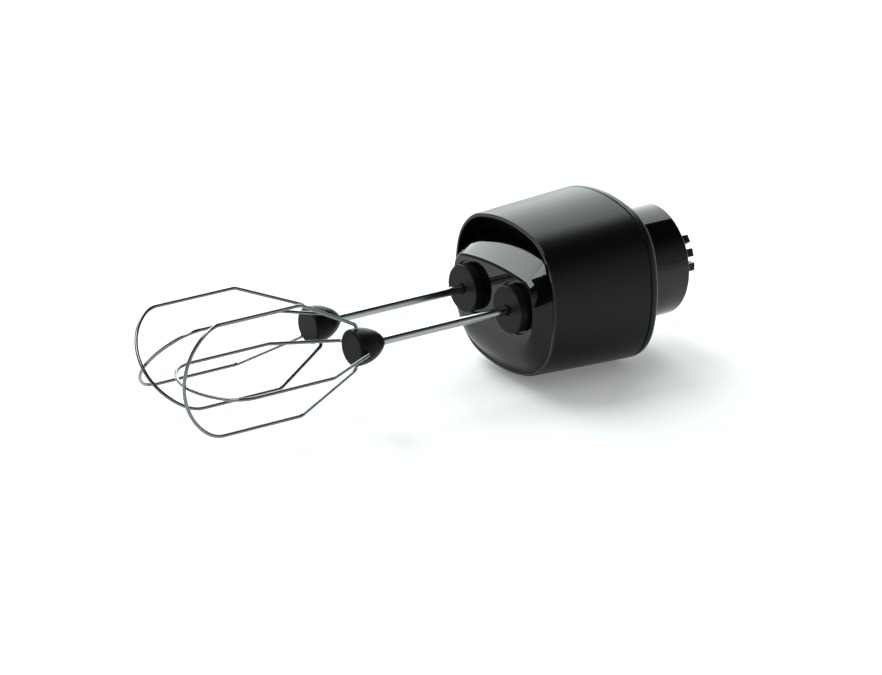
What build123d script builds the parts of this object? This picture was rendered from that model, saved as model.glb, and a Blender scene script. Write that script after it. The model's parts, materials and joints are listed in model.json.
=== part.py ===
"""Twin-whisk gear head for a motor handle: a squircle housing with a planet stage, two counter-rotating
spindles and two wire whisks that pull out. Millimetres. The tool axis is X, the whisks point to -X,
the neck that plugs into the handle ends at x = 0, and +Z is up. Stations are distances ahead of x = 0."""
import os
from math import acos, cos, hypot, pi, radians, sin, sqrt, tan

from build123d import *

# Fits and running gaps
running_clearance = 0.05
sliding_clearance = 0.03
seat_clearance = 0.01
slip_clearance = 0.15
socket_clearance = 0.12
end_gap = 0.4
backlash = 0.12

# Housing
housing_room = 3.9
front_half_height = 35.8
sleeve_flare = 2.8
sleeve_corner_radius = 25.0
sleeve_corner_reach = 0.766
sleeve_wall = 1.6
cover_band = 4.6
cover_thickness = 4.2
cover_edge_radius = 3.0
groove_width = 0.6
groove_depth = 0.6
spigot_length = 4.0
spigot_wall = 1.6

# Neck and locking crown
neck_radius = 26.0
neck_wall = 2.5
neck_length = 28.2
neck_edge_radius = 0.8
neck_groove_width = 0.8
neck_groove_depth = 0.5
web_station = 10.0
web_thickness = 3.0
neck_boss_wall = 3.0
flange_width = 6.8
flange_thickness = 2.0
crown_gap = 2.2
crown_wall = 3.5
crown_overhang = 6.4
crown_groups = 2
crown_group_teeth = 3
crown_tooth_pitch = 18.0
crown_tooth_height = 5.0
crown_tooth_width = 3.6
crown_tooth_angle = 142.0

# Front cap
cap_depth = 12.8
cap_step = 0.8
cap_wall = 2.0
nose_length = 6.4
nose_side_rim = 1.1
nose_top_rim = 3.6
nose_corner_radius = 7.5
nose_corner_reach = 0.84
nose_wall = 2.2
nose_root_spread = 4.0
nose_root_rise = 10.0
scoop_depth = 8.2
scoop_lip = 0.9
scoop_floor = 6.0
cove_length = 4.5
cove_start = 0.65
recess_depth = 1.2
recess_margin = 1.0

# Gears
spindle_spacing = 34.0
sync_teeth = 34
wheel_teeth = 24
pinion_teeth = 10
stage_module = 0.8
sun_teeth = 12
planet_teeth = 18
planet_count = 3
pressure_angle = 25.0
addendum_factor = 0.8
dedendum_factor = 1.05
flank_steps = 4
sync_width = 8.0
wheel_width = 6.6
planet_width = 6.6
ring_wall = 3.6

# Planet carrier, shafts and bushes
carrier_thickness = 2.2
carrier_margin = 2.0
carrier_journal_radius = 6.0
pinion_seat_radius = 2.5
pin_radius = 1.5
input_radius = 3.0
sun_seat_radius = 2.5
pilot_length = 3.0
bush_wall = 2.0
seal_width = 1.4
input_bush_length = 9.5
coupling_radius = 10.5
coupling_length = 11.0
coupling_gap = 1.6
drive_socket_radius = 5.0
drive_socket_depth = 5.0
coupling_flutes = 6
flute_radius = 2.0

# Plates and screws
plate_thickness = 4.8
stage_cover_thickness = 2.0
post_radius = 3.2
post_side_margin = 12.9
post_top_margin = 14.8
screw_radius = 1.25
screw_head_radius = 2.3
screw_head_height = 1.6
screw_grip = 9.0
screw_slot_width = 0.8
screw_slot_depth = 0.6
ear_count = 4
ear_bearing = 45.0
ear_radius = 3.4
ear_offset = 1.96
neck_screw_count = 4
neck_screw_bearing = 22.5
neck_screw_offset = 3.5
neck_screw_grip = 3.0

# Spindles
spindle_journal_radius = 7.0
gear_seat_radius = 5.0
rear_journal_radius = 4.0
clip_thickness = 1.0
clip_width = 1.6
clip_groove_depth = 0.5
clip_opening = 60.0
spacer_length = 2.8
spacer_wall = 2.0
hex_across_flats = 8.0
hex_length = 4.6
detent_thickness = 1.2
detent_width = 1.5
detent_opening = 40.0
shaft_depth = 24.0

# Whisks
shaft_radius = 2.0
collar_radius = 10.9
collar_thickness = 5.3
collar_gap = 0.3
collar_edge_radius = 0.6
shaft_exposed = 67.7
shaft_groove_depth = 0.3
hub_radius = 8.3
hub_length = 15.6
hub_nose_length = 12.4
hub_rear_wall = 1.0
hub_edge_radius = 1.2
wire_radius = 0.8
wire_setback = 2.6
wire_root_radius = 3.6
elbow_reach = 2.0
elbow_bend = 2.3
shoulder_length = 28.6
shoulder_bend = 5.0
loop_radius = 25.3
loop_straight = 39.2
tip_depth = 19.7
tip_corner_radius = 14.0
loop_gap = 0.2
near_whisk_angle = 90.0
far_whisk_angle = 45.0

# Stations along the axis, from the neck's rim forwards
cover_front = neck_length + cover_thickness
flange_front = cover_front + flange_thickness
stage_rear = flange_front + screw_head_height + end_gap
ring_rear = stage_rear + stage_cover_thickness
planet_rear = ring_rear + end_gap
planet_front = planet_rear + planet_width
carrier_rear = planet_front + end_gap
carrier_front = carrier_rear + carrier_thickness
plate_rear = carrier_front + end_gap
plate_front = plate_rear + plate_thickness
clip_rear = plate_front + end_gap
wheel_rear = clip_rear + clip_thickness
wheel_front = wheel_rear + wheel_width
sync_rear = wheel_front + spacer_length
sync_front = sync_rear + sync_width
boss_rear = sync_front + end_gap
sleeve_front = boss_rear + cap_depth
sleeve_rear = neck_length + cover_band + groove_width
cap_front = sleeve_front - cap_step
nose_front = sleeve_front + nose_length
scoop_back = sleeve_front - scoop_depth
recess_floor = nose_front - recess_depth
spindle_front = recess_floor - collar_gap
collar_rear = recess_floor + collar_gap
collar_front = collar_rear + collar_thickness
hub_rear = collar_front + shaft_exposed
hub_front = hub_rear + hub_length
wire_station = hub_front - wire_setback
shoulder_station = wire_station + shoulder_length
tip_station = shoulder_station + loop_straight

# Radii and angles that follow from the sizes above
half_spacing = spindle_spacing / 2
front_half_width = spindle_spacing + housing_room
rear_half_width = front_half_width + sleeve_flare
rear_half_height = front_half_height + sleeve_flare
post_half_spacing_y = front_half_width - post_side_margin
post_half_spacing_z = front_half_height - post_top_margin
flange_radius = neck_radius + flange_width
neck_screw_circle_radius = neck_radius + neck_screw_offset
crown_radius = neck_radius - neck_wall - crown_gap
coupling_front = web_station - coupling_gap
sync_module = spindle_spacing / sync_teeth
wheel_module = spindle_spacing / (wheel_teeth + pinion_teeth)
ring_teeth = sun_teeth + 2 * planet_teeth
planet_orbit = stage_module * (sun_teeth + planet_teeth) / 2
ring_radius = stage_module * (ring_teeth / 2 + dedendum_factor) + ring_wall
ear_circle_radius = ring_radius + ear_offset
carrier_radius = planet_orbit + pin_radius + carrier_margin
journal_bush_radius = spindle_journal_radius + bush_wall
boss_radius = journal_bush_radius + cap_wall
recess_radius = collar_radius + recess_margin
nose_half_width = half_spacing + recess_radius + nose_side_rim
nose_half_height = recess_radius + nose_top_rim
hub_rear_radius = shaft_radius + hub_rear_wall
elbow_radius = hub_radius + elbow_reach
spindle_sides = {"far": half_spacing, "near": -half_spacing}
whisk_angles = {"far": far_whisk_angle, "near": near_whisk_angle}
post_spots = [(y, z) for y in (-post_half_spacing_y, post_half_spacing_y)
              for z in (-post_half_spacing_z, post_half_spacing_z)]

# Tooth angles at rest, so that every pair is in mesh
pinion_angle = 0.0
wheel_angle = 180 * (1 + 1 / wheel_teeth)
far_sync_angle = 180.0
near_sync_angle = 180 / sync_teeth
sun_angle = 0.0
planet_bearings = [90 + 360 * k / planet_count for k in range(planet_count)]
planet_angles = [b * (1 + sun_teeth / planet_teeth) + 180 * (1 + 1 / planet_teeth) for b in planet_bearings]
ring_space_angle = planet_bearings[0] + (planet_angles[0] - planet_bearings[0]) * planet_teeth / ring_teeth

os.makedirs("parts", exist_ok=True)


def section_at(station, y=0.0, z=0.0):
    """The plane across the axis at a station, looking back towards the handle."""
    return Plane(origin=(-station, y, z), x_dir=(0, 1, 0), z_dir=(1, 0, 0))


def keep(piece, label):
    """Labels a finished piece and writes it."""
    piece.part.label = label
    export_step(piece.part, f"parts/{label}.step")


def disc(front, rear, radius, y=0.0, z=0.0, mode=Mode.ADD):
    """A round step between two stations."""
    with BuildSketch(section_at(front, y, z)) as face:
        Circle(radius)
    extrude(face.sketch, amount=front - rear, mode=mode)


def tube(front, rear, radius, bore, y=0.0, mode=Mode.ADD):
    """A plain ring between two stations."""
    with BuildSketch(section_at(front, y)) as face:
        Circle(radius)
        Circle(bore, mode=Mode.SUBTRACT)
    extrude(face.sketch, amount=front - rear, mode=mode)


def squircle(half_width, half_height, corner_radius, corner_reach, inset=0.0):
    """A rounded square of eight tangent arcs, drawn in by an inset. The corner arcs pass through the point
    at corner_reach of both half sizes; the side arcs' radii follow from tangency."""
    corner = Vector(corner_reach * half_width, corner_reach * half_height)
    normal = Vector(1 / half_width, 1 / half_height).normalized()
    centre = corner - normal * corner_radius

    def side_centre(half_size, along, across):
        reach = half_size - along
        radius = (reach ** 2 + across ** 2 - corner_radius ** 2) / (2 * (reach - corner_radius))
        return half_size - radius

    right = Vector(side_centre(half_width, centre.X, centre.Y), 0)
    top = Vector(0, side_centre(half_height, centre.Y, centre.X))
    low = centre + (centre - right).normalized() * (corner_radius - inset)
    middle = corner - normal * inset
    high = centre + (centre - top).normalized() * (corner_radius - inset)
    with BuildLine() as edge:
        for side in (1, -1):
            ThreePointArc((side * low.X, -low.Y), (side * (half_width - inset), 0), (side * low.X, low.Y))
            ThreePointArc((-high.X, side * high.Y), (0, side * (half_height - inset)),
                          (high.X, side * high.Y))
            for up in (1, -1):
                ThreePointArc((side * low.X, up * low.Y), (side * middle.X, up * middle.Y),
                              (side * high.X, up * high.Y))
    make_face(edge.edges())


def sleeve_outline(station, inset=0.0):
    """The sleeve's outline at a station, drawn in by an inset."""
    share = (sleeve_front - station) / (sleeve_front - neck_length)
    half_width = front_half_width + share * (rear_half_width - front_half_width)
    half_height = front_half_height + share * (rear_half_height - front_half_height)
    squircle(half_width, half_height, sleeve_corner_radius, sleeve_corner_reach, inset)


def nose_outline(inset=0.0):
    """The nose's outline, drawn in by an inset."""
    squircle(nose_half_width, nose_half_height, nose_corner_radius, nose_corner_reach, inset)


def polar(radius, angle):
    """A point at a radius and an angle in radians."""
    return (radius * cos(angle), radius * sin(angle))


def gear_face(teeth, module, tooth_angle, thinning, addendum, dedendum):
    """An involute gear's outline, with a tooth centred on tooth_angle (degrees)."""
    pitch_radius = module * teeth / 2
    base = pitch_radius * cos(radians(pressure_angle))
    tip = pitch_radius + addendum * module
    root = pitch_radius - dedendum * module
    start = max(base, root)
    pressure = radians(pressure_angle)
    half_tooth = pi / (2 * teeth) - thinning / (2 * pitch_radius) + tan(pressure) - pressure

    def half_angle(radius):
        turn = acos(min(1.0, base / radius))
        return half_tooth - (tan(turn) - turn)

    flank = [start + (tip - start) * k / flank_steps for k in range(flank_steps + 1)]
    middle = radians(tooth_angle)
    after = middle + 2 * pi / teeth
    rise = [polar(r, middle - half_angle(r)) for r in flank]
    fall = [polar(r, middle + half_angle(r)) for r in reversed(flank)]
    leave = polar(root, middle + half_angle(start))
    enter = polar(root, after - half_angle(start))
    with BuildLine() as tooth:
        Spline(*rise)
        ThreePointArc(rise[-1], polar(tip, middle), fall[0])
        Spline(*fall)
        if start > root:
            Line(fall[-1], leave)
            Line(enter, polar(start, after - half_angle(start)))
        ThreePointArc(leave, polar(root, (middle + after) / 2), enter)
    make_face([edge.rotate(Axis.Z, 360 * k / teeth) for k in range(teeth) for edge in tooth.edges()])


def outer_gear(front, rear, teeth, module, tooth_angle, y=0.0, z=0.0):
    """An external spur gear between two stations."""
    with BuildSketch(section_at(front, y, z)) as face:
        gear_face(teeth, module, tooth_angle, backlash, addendum_factor, dedendum_factor)
    extrude(face.sketch, amount=front - rear)


def open_ring(front, rear, radius, bore, opening, y=0.0):
    """A spring ring with an opening (degrees) at its top."""
    tube(front, rear, radius, bore, y)
    half = radius * sin(radians(opening / 2))
    with BuildSketch(section_at(front, y)) as face:
        with Locations((0, radius)):
            Rectangle(2 * half, 2 * (radius - bore) + half)
    extrude(face.sketch, amount=front - rear, mode=Mode.SUBTRACT)


def rear_screw(seat, grip, y, z):
    """A slotted screw with its head behind a seat and its shank reaching forwards."""
    disc(seat, seat - screw_head_height, screw_head_radius, y, z)
    disc(seat + grip, seat, screw_radius, y, z)
    with BuildSketch(section_at(seat - screw_head_height + screw_slot_depth, y, z)) as slot:
        Rectangle(2 * screw_head_radius, screw_slot_width)
    extrude(slot.sketch, amount=screw_slot_depth, mode=Mode.SUBTRACT)


def front_screw(seat, grip, y, z):
    """A slotted screw with its head ahead of a seat and its shank reaching back."""
    disc(seat + screw_head_height, seat, screw_head_radius, y, z)
    disc(seat, seat - grip, screw_radius, y, z)
    with BuildSketch(section_at(seat + screw_head_height, y, z)) as slot:
        Rectangle(2 * screw_head_radius, screw_slot_width)
    extrude(slot.sketch, amount=screw_slot_depth, mode=Mode.SUBTRACT)


def circle_spots(radius, count, first=0.0):
    """Points evenly spaced on a circle, from a first angle in degrees."""
    return [polar(radius, radians(first + 360 * k / count)) for k in range(count)]


# Outer sleeve: a slightly flared squircle tube
with BuildPart() as outer_sleeve:
    for inset, mode in ((0.0, Mode.ADD), (sleeve_wall, Mode.SUBTRACT)):
        with BuildSketch(section_at(sleeve_front)):
            sleeve_outline(sleeve_front, inset)
        with BuildSketch(section_at(sleeve_rear)):
            sleeve_outline(sleeve_rear, inset)
        loft(ruled=True, mode=mode)
keep(outer_sleeve, "outer_sleeve")

# Rear cover: end wall with a rounded edge, a groove and a spigot inside the sleeve
with BuildPart() as rear_cover:
    with BuildSketch(section_at(neck_length + cover_band)):
        sleeve_outline(sleeve_rear)
    extrude(amount=cover_band)
    fillet(rear_cover.edges().group_by(Axis.X)[-1], cover_edge_radius)
    with BuildSketch(section_at(sleeve_rear)):
        sleeve_outline(sleeve_rear, groove_depth)
    extrude(amount=groove_width)
    with BuildSketch(section_at(sleeve_rear + spigot_length)):
        sleeve_outline(sleeve_rear + spigot_length, sleeve_wall + slip_clearance)
    extrude(amount=spigot_length)
    with BuildSketch(section_at(sleeve_rear + spigot_length)):
        sleeve_outline(sleeve_rear + spigot_length, sleeve_wall + slip_clearance + spigot_wall)
    extrude(amount=sleeve_rear + spigot_length - cover_front, mode=Mode.SUBTRACT)
    disc(cover_front, neck_length, neck_radius + slip_clearance, mode=Mode.SUBTRACT)
    for y, z in circle_spots(neck_screw_circle_radius, neck_screw_count, neck_screw_bearing):
        disc(cover_front, cover_front - neck_screw_grip, screw_radius + seat_clearance, y, z, Mode.SUBTRACT)
keep(rear_cover, "rear_cover")

# Neck: tube with a flange inside the cover, a web and a boss for the input bush
input_bush_radius = input_radius + running_clearance + bush_wall
neck_boss_front = web_station + seal_width + input_bush_length
with BuildPart() as neck_tube:
    tube(flange_front, 0, neck_radius, neck_radius - neck_wall)
    fillet(neck_tube.edges().group_by(Axis.X)[-1].sort_by(SortBy.RADIUS)[-1], neck_edge_radius)
    tube(neck_length, neck_length - neck_groove_width, 2 * neck_radius, neck_radius - neck_groove_depth,
         mode=Mode.SUBTRACT)
    tube(flange_front, cover_front, flange_radius, neck_radius - neck_wall)
    disc(web_station + web_thickness, web_station, neck_radius - neck_wall)
    disc(neck_boss_front, web_station, input_bush_radius + neck_boss_wall)
    disc(neck_boss_front, web_station, input_bush_radius + seat_clearance, mode=Mode.SUBTRACT)
    for y, z in circle_spots(neck_screw_circle_radius, neck_screw_count, neck_screw_bearing):
        disc(flange_front, cover_front, screw_radius + slip_clearance, y, z, Mode.SUBTRACT)
keep(neck_tube, "neck_tube")

# Screws that hold the neck's flange to the rear cover
with BuildPart() as neck_screws:
    for y, z in circle_spots(neck_screw_circle_radius, neck_screw_count, neck_screw_bearing):
        front_screw(flange_front, flange_thickness + neck_screw_grip - end_gap, y, z)
keep(neck_screws, "neck_screws")

# Locking crown: a ring on the web with groups of teeth on its rear edge
crown_root = crown_tooth_height - crown_overhang
with BuildPart() as locking_crown:
    tube(web_station, crown_root, crown_radius, crown_radius - crown_wall)
    with BuildSketch(section_at(crown_root)):
        for group in range(crown_groups):
            first_tooth = crown_tooth_angle + 360 * group / crown_groups
            with PolarLocations(crown_radius, crown_group_teeth, first_tooth,
                                crown_group_teeth * crown_tooth_pitch):
                Rectangle(4 * crown_wall, crown_tooth_width)
        Circle(crown_radius, mode=Mode.INTERSECT)
        Circle(crown_radius - crown_wall, mode=Mode.SUBTRACT)
    extrude(amount=crown_tooth_height)
keep(locking_crown, "locking_crown")

# Scoop: the hollow above the nose, made as a cutter for the front cap
with BuildPart() as scoop:
    with BuildSketch(section_at(nose_front + nose_length)):
        sleeve_outline(sleeve_front, sleeve_wall + slip_clearance + scoop_lip)
    extrude(amount=nose_front + nose_length - scoop_back)
    with BuildSketch(section_at(nose_front + nose_length)):
        nose_outline()
    extrude(amount=nose_length, mode=Mode.SUBTRACT)
    for station, share in ((nose_front, 0.0), (scoop_back + cove_length, cove_start), (scoop_back, 1.0)):
        with BuildSketch(section_at(station)):
            squircle(nose_half_width + share * nose_root_spread, nose_half_height + share * nose_root_rise,
                     nose_corner_radius, nose_corner_reach)
    loft(ruled=True, mode=Mode.SUBTRACT)
    split(bisect_by=Plane.XY.offset(scoop_floor), keep=Keep.TOP)

# Front cap: skirt, sloping front, nose, scoop, spindle bosses and posts
skirt_inset = sleeve_wall + slip_clearance
with BuildPart() as front_cap:
    with BuildSketch(section_at(cap_front)):
        sleeve_outline(sleeve_front, skirt_inset)
    extrude(amount=cap_front - boss_rear)
    with BuildSketch(section_at(nose_front)):
        nose_outline()
    with BuildSketch(section_at(cap_front)):
        sleeve_outline(sleeve_front, skirt_inset)
    loft(ruled=True)
    add(scoop.part, mode=Mode.SUBTRACT)
    wall_rear = scoop_back - cap_wall
    with BuildSketch(section_at(wall_rear)):
        sleeve_outline(sleeve_front, skirt_inset + cap_wall)
    extrude(amount=wall_rear - boss_rear, mode=Mode.SUBTRACT)
    with BuildSketch(section_at(recess_floor - cap_wall)):
        nose_outline(nose_wall)
    extrude(amount=recess_floor - cap_wall - wall_rear, mode=Mode.SUBTRACT)
    with BuildSketch(section_at(cap_front - cap_wall)):
        sleeve_outline(sleeve_front, skirt_inset + cap_wall)
        with Locations((0, scoop_floor - cap_wall)):
            Rectangle(4 * front_half_width, 4 * front_half_height, align=(Align.CENTER, Align.MIN),
                      mode=Mode.SUBTRACT)
    extrude(amount=cap_front - cap_wall - wall_rear, mode=Mode.SUBTRACT)
    for y in spindle_sides.values():
        disc(recess_floor - cap_wall, boss_rear, boss_radius, y)
        disc(recess_floor, boss_rear, journal_bush_radius + seat_clearance, y, mode=Mode.SUBTRACT)
        disc(nose_front, recess_floor, recess_radius, y, mode=Mode.SUBTRACT)
    for y, z in post_spots:
        disc(wall_rear if z > 0 else cap_front - cap_wall, plate_front, post_radius, y, z)
        disc(plate_front + screw_grip, plate_front, screw_radius + seat_clearance, y, z, mode=Mode.SUBTRACT)
keep(front_cap, "front_cap")

# Bearing plate: carries the rear spindle bushes, the carrier bush and the ring gear
rear_bush_radius = rear_journal_radius + running_clearance + bush_wall
carrier_bush_radius = carrier_journal_radius + running_clearance + bush_wall
with BuildPart() as bearing_plate:
    with BuildSketch(section_at(plate_front)):
        sleeve_outline(plate_front, sleeve_wall + end_gap)
        with Locations(*post_spots):
            Circle(screw_radius + slip_clearance, mode=Mode.SUBTRACT)
        with Locations(*[(y, 0) for y in spindle_sides.values()]):
            Circle(rear_bush_radius + seat_clearance, mode=Mode.SUBTRACT)
        Circle(carrier_bush_radius + seat_clearance, mode=Mode.SUBTRACT)
        with Locations(*circle_spots(ear_circle_radius, ear_count, ear_bearing)):
            Circle(screw_radius + seat_clearance, mode=Mode.SUBTRACT)
    extrude(amount=plate_thickness)
keep(bearing_plate, "bearing_plate")

# Screws that hold the bearing plate to the cap's posts
with BuildPart() as plate_screws:
    for y, z in post_spots:
        rear_screw(plate_rear, plate_thickness + screw_grip - end_gap, y, z)
keep(plate_screws, "plate_screws")

# Ring gear: internal teeth and ears for the screws
with BuildPart() as ring_gear:
    with BuildSketch(section_at(plate_rear)):
        Circle(ring_radius)
        with Locations(*circle_spots(ear_circle_radius, ear_count, ear_bearing)):
            Circle(ear_radius)
        with Locations(*circle_spots(ear_circle_radius, ear_count, ear_bearing)):
            Circle(screw_radius + slip_clearance, mode=Mode.SUBTRACT)
    extrude(amount=plate_rear - ring_rear)
    with BuildSketch(section_at(plate_rear)):
        gear_face(ring_teeth, stage_module, ring_space_angle, -backlash, dedendum_factor, addendum_factor)
    extrude(amount=plate_rear - ring_rear, mode=Mode.SUBTRACT)
keep(ring_gear, "ring_gear")

# Stage cover: closes the planet stage behind the gears
with BuildPart() as stage_cover:
    with BuildSketch(section_at(ring_rear)):
        Circle(ring_radius)
        with Locations(*circle_spots(ear_circle_radius, ear_count, ear_bearing)):
            Circle(ear_radius)
        with Locations(*circle_spots(ear_circle_radius, ear_count, ear_bearing)):
            Circle(screw_radius + slip_clearance, mode=Mode.SUBTRACT)
        Circle(input_radius + end_gap, mode=Mode.SUBTRACT)
    extrude(amount=stage_cover_thickness)
keep(stage_cover, "stage_cover")

# Screws that hold the planet stage to the bearing plate
with BuildPart() as stage_screws:
    for y, z in circle_spots(ear_circle_radius, ear_count, ear_bearing):
        rear_screw(stage_rear, plate_front - stage_rear - end_gap, y, z)
keep(stage_screws, "stage_screws")

# Bushes and seals of the two spindles
for side, y in spindle_sides.items():
    bush_front = recess_floor - seal_width
    with BuildPart() as front_bush:
        tube(bush_front, boss_rear, journal_bush_radius, spindle_journal_radius + running_clearance, y)
    keep(front_bush, f"{side}_front_bush")

    with BuildPart() as spindle_seal:
        tube(recess_floor, bush_front, journal_bush_radius, spindle_journal_radius + running_clearance, y)
    keep(spindle_seal, f"{side}_spindle_seal")

    with BuildPart() as rear_bush:
        tube(plate_front, plate_rear, rear_bush_radius, rear_journal_radius + running_clearance, y)
    keep(rear_bush, f"{side}_rear_bush")

# Bush of the planet carrier
with BuildPart() as carrier_bush:
    tube(plate_front, plate_rear, carrier_bush_radius, carrier_journal_radius + running_clearance)
keep(carrier_bush, "carrier_bush")

# Bush and seal of the input shaft, in the neck's boss
with BuildPart() as input_bush:
    tube(neck_boss_front, web_station + seal_width, input_bush_radius, input_radius + running_clearance)
keep(input_bush, "input_bush")

with BuildPart() as input_seal:
    tube(web_station + seal_width, web_station, input_bush_radius, input_radius + running_clearance)
keep(input_seal, "input_seal")

# Input shaft: stepped down for the sun gear and the pilot in the carrier
shaft_clip_rear = neck_boss_front + end_gap
coupling_rear = coupling_front - coupling_length
shaft_rear = coupling_rear + drive_socket_depth
with BuildPart() as input_shaft:
    disc(ring_rear, shaft_rear, input_radius)
    disc(carrier_rear + pilot_length, ring_rear, sun_seat_radius)
    tube(shaft_clip_rear + clip_thickness, shaft_clip_rear, 2 * input_radius,
         input_radius - clip_groove_depth, mode=Mode.SUBTRACT)
keep(input_shaft, "input_shaft")

# Clip that keeps the input shaft from moving back
with BuildPart() as shaft_clip:
    groove_radius = input_radius - clip_groove_depth + seat_clearance
    open_ring(shaft_clip_rear + clip_thickness, shaft_clip_rear, groove_radius + clip_width, groove_radius,
              clip_opening)
keep(shaft_clip, "shaft_clip")

# Drive coupling: fluted plug with a round socket for the motor's drive pin
with BuildPart() as drive_coupling:
    disc(coupling_front, coupling_rear, coupling_radius)
    disc(shaft_rear, coupling_rear, drive_socket_radius, mode=Mode.SUBTRACT)
    disc(coupling_front, shaft_rear, input_radius + seat_clearance, mode=Mode.SUBTRACT)
    with BuildSketch(section_at(shaft_rear)):
        with PolarLocations(coupling_radius, coupling_flutes):
            Circle(flute_radius)
    extrude(amount=drive_socket_depth, mode=Mode.SUBTRACT)
keep(drive_coupling, "drive_coupling")

# Sun gear
with BuildPart() as sun_gear:
    outer_gear(planet_front, planet_rear, sun_teeth, stage_module, sun_angle)
    disc(planet_front, planet_rear, sun_seat_radius + seat_clearance, mode=Mode.SUBTRACT)
keep(sun_gear, "sun_gear")

# Planet gears on their pins
for k, (bearing, tooth_angle) in enumerate(zip(planet_bearings, planet_angles), start=1):
    y, z = polar(planet_orbit, radians(bearing))
    with BuildPart() as planet_gear:
        outer_gear(planet_front, planet_rear, planet_teeth, stage_module, tooth_angle, y, z)
        disc(planet_front, planet_rear, pin_radius + running_clearance, y, z, Mode.SUBTRACT)
    keep(planet_gear, f"planet_gear_{k}")

with BuildPart() as planet_pins:
    for bearing in planet_bearings:
        y, z = polar(planet_orbit, radians(bearing))
        disc(carrier_front, planet_rear, pin_radius, y, z)
keep(planet_pins, "planet_pins")

# Planet carrier: plate, journal and seat for the output pinion
pinion_rear = plate_front + end_gap
with BuildPart() as planet_carrier:
    disc(carrier_front, carrier_rear, carrier_radius)
    disc(pinion_rear, carrier_front, carrier_journal_radius)
    disc(wheel_front, pinion_rear, pinion_seat_radius)
    disc(carrier_rear + pilot_length + end_gap, carrier_rear, sun_seat_radius + running_clearance,
         mode=Mode.SUBTRACT)
    for bearing in planet_bearings:
        y, z = polar(planet_orbit, radians(bearing))
        disc(carrier_front, carrier_rear, pin_radius + seat_clearance, y, z, Mode.SUBTRACT)
keep(planet_carrier, "planet_carrier")

# Output pinion on the carrier's front end
with BuildPart() as output_pinion:
    outer_gear(wheel_front, pinion_rear, pinion_teeth, wheel_module, pinion_angle)
    disc(wheel_front, pinion_rear, pinion_seat_radius + seat_clearance, mode=Mode.SUBTRACT)
keep(output_pinion, "output_pinion")

# Drive wheel on the far spindle, with its hub against the far synchronising gear
with BuildPart() as drive_wheel:
    outer_gear(wheel_front, wheel_rear, wheel_teeth, wheel_module, wheel_angle, half_spacing)
    disc(sync_rear, wheel_front, gear_seat_radius + spacer_wall, half_spacing)
    disc(sync_rear, wheel_rear, gear_seat_radius + seat_clearance, half_spacing, mode=Mode.SUBTRACT)
keep(drive_wheel, "drive_wheel")

# Spacer that takes the drive wheel's place on the near spindle
with BuildPart() as near_spacer:
    tube(sync_rear, wheel_rear, gear_seat_radius + spacer_wall, gear_seat_radius + seat_clearance,
         -half_spacing)
keep(near_spacer, "near_spacer")

# Synchronising gears, spindles, clips and detent springs
hex_radius = hex_across_flats / sqrt(3)
hex_socket_radius = (hex_across_flats + 2 * socket_clearance) / sqrt(3)
hex_socket_floor = spindle_front - hex_length
detent_rear = hex_socket_floor - detent_thickness
detent_bore = shaft_radius + 2 * running_clearance
spindle_bore_end = spindle_front - shaft_depth - end_gap
sync_angles = {"far": far_sync_angle, "near": near_sync_angle}
for side, y in spindle_sides.items():
    with BuildPart() as sync_gear:
        outer_gear(sync_front, sync_rear, sync_teeth, sync_module, sync_angles[side], y)
        disc(sync_front, sync_rear, gear_seat_radius + seat_clearance, y, mode=Mode.SUBTRACT)
    keep(sync_gear, f"{side}_sync_gear")

    with BuildPart() as spindle:
        disc(spindle_front, sync_front, spindle_journal_radius, y)
        disc(sync_front, clip_rear, gear_seat_radius, y)
        disc(clip_rear, plate_rear + end_gap, rear_journal_radius, y)
        disc(spindle_front, spindle_bore_end, shaft_radius + sliding_clearance, y, mode=Mode.SUBTRACT)
        disc(hex_socket_floor, detent_rear, detent_bore + detent_width + seat_clearance, y,
             mode=Mode.SUBTRACT)
        with BuildSketch(section_at(spindle_front, y)):
            RegularPolygon(hex_socket_radius, 6)
        extrude(amount=hex_length, mode=Mode.SUBTRACT)
        tube(wheel_rear, clip_rear, 2 * gear_seat_radius, gear_seat_radius - clip_groove_depth, y,
             Mode.SUBTRACT)
    keep(spindle, f"{side}_spindle")

    with BuildPart() as spindle_clip:
        clip_bore = gear_seat_radius - clip_groove_depth + seat_clearance
        open_ring(wheel_rear, clip_rear, clip_bore + clip_width, clip_bore, clip_opening, y)
    keep(spindle_clip, f"{side}_spindle_clip")

    with BuildPart() as detent_spring:
        open_ring(hex_socket_floor, detent_rear, detent_bore + detent_width, detent_bore, detent_opening, y)
    keep(detent_spring, f"{side}_detent_spring")


def whisk_plane(y, angle):
    """The plane through a whisk's axis at an angle: first axis forwards, second outwards."""
    turn = radians(angle)
    return Plane(origin=(0, y, 0), x_dir=(-1, 0, 0), z_dir=(0, sin(turn), -cos(turn)))


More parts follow.
